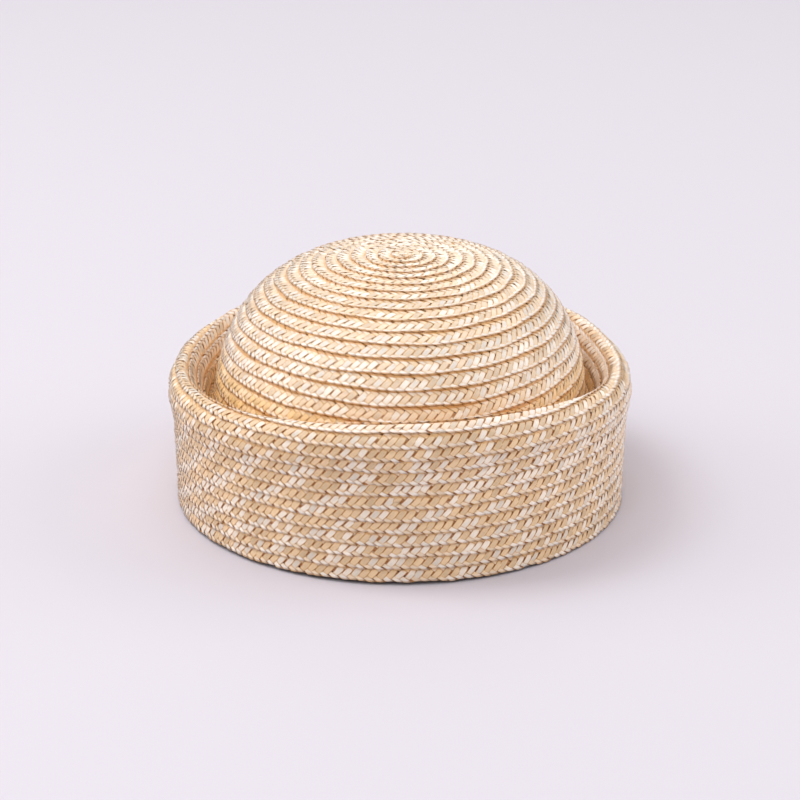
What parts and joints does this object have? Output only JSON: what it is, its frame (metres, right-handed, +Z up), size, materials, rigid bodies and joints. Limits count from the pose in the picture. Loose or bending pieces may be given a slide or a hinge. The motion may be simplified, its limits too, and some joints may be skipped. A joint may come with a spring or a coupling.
{
  "type": "pillbox hat of sewn straw plait",
  "caption": "Brimless straw hat: an upright side band with a soft rolled rim, and a domed tip set in a groove inside the rim, open underneath for the head.",
  "frame": {"origin": "middle of the free edge's plane, on the ground that the hat rests on", "axes": "+Z up through the domed tip, -Y towards the front of the hat, +X to the viewer's right; the hat is longest along Y"},
  "size_m": [0.178, 0.2088, 0.0949],
  "materials": {
    "crown_straw": "satin varnished straw plait",
    "band_straw": "satin varnished straw plait"
  },
  "bodies": {
    "root": {"crown": "crown_straw", "side_band": "band_straw"}
  },
  "joints": []
}
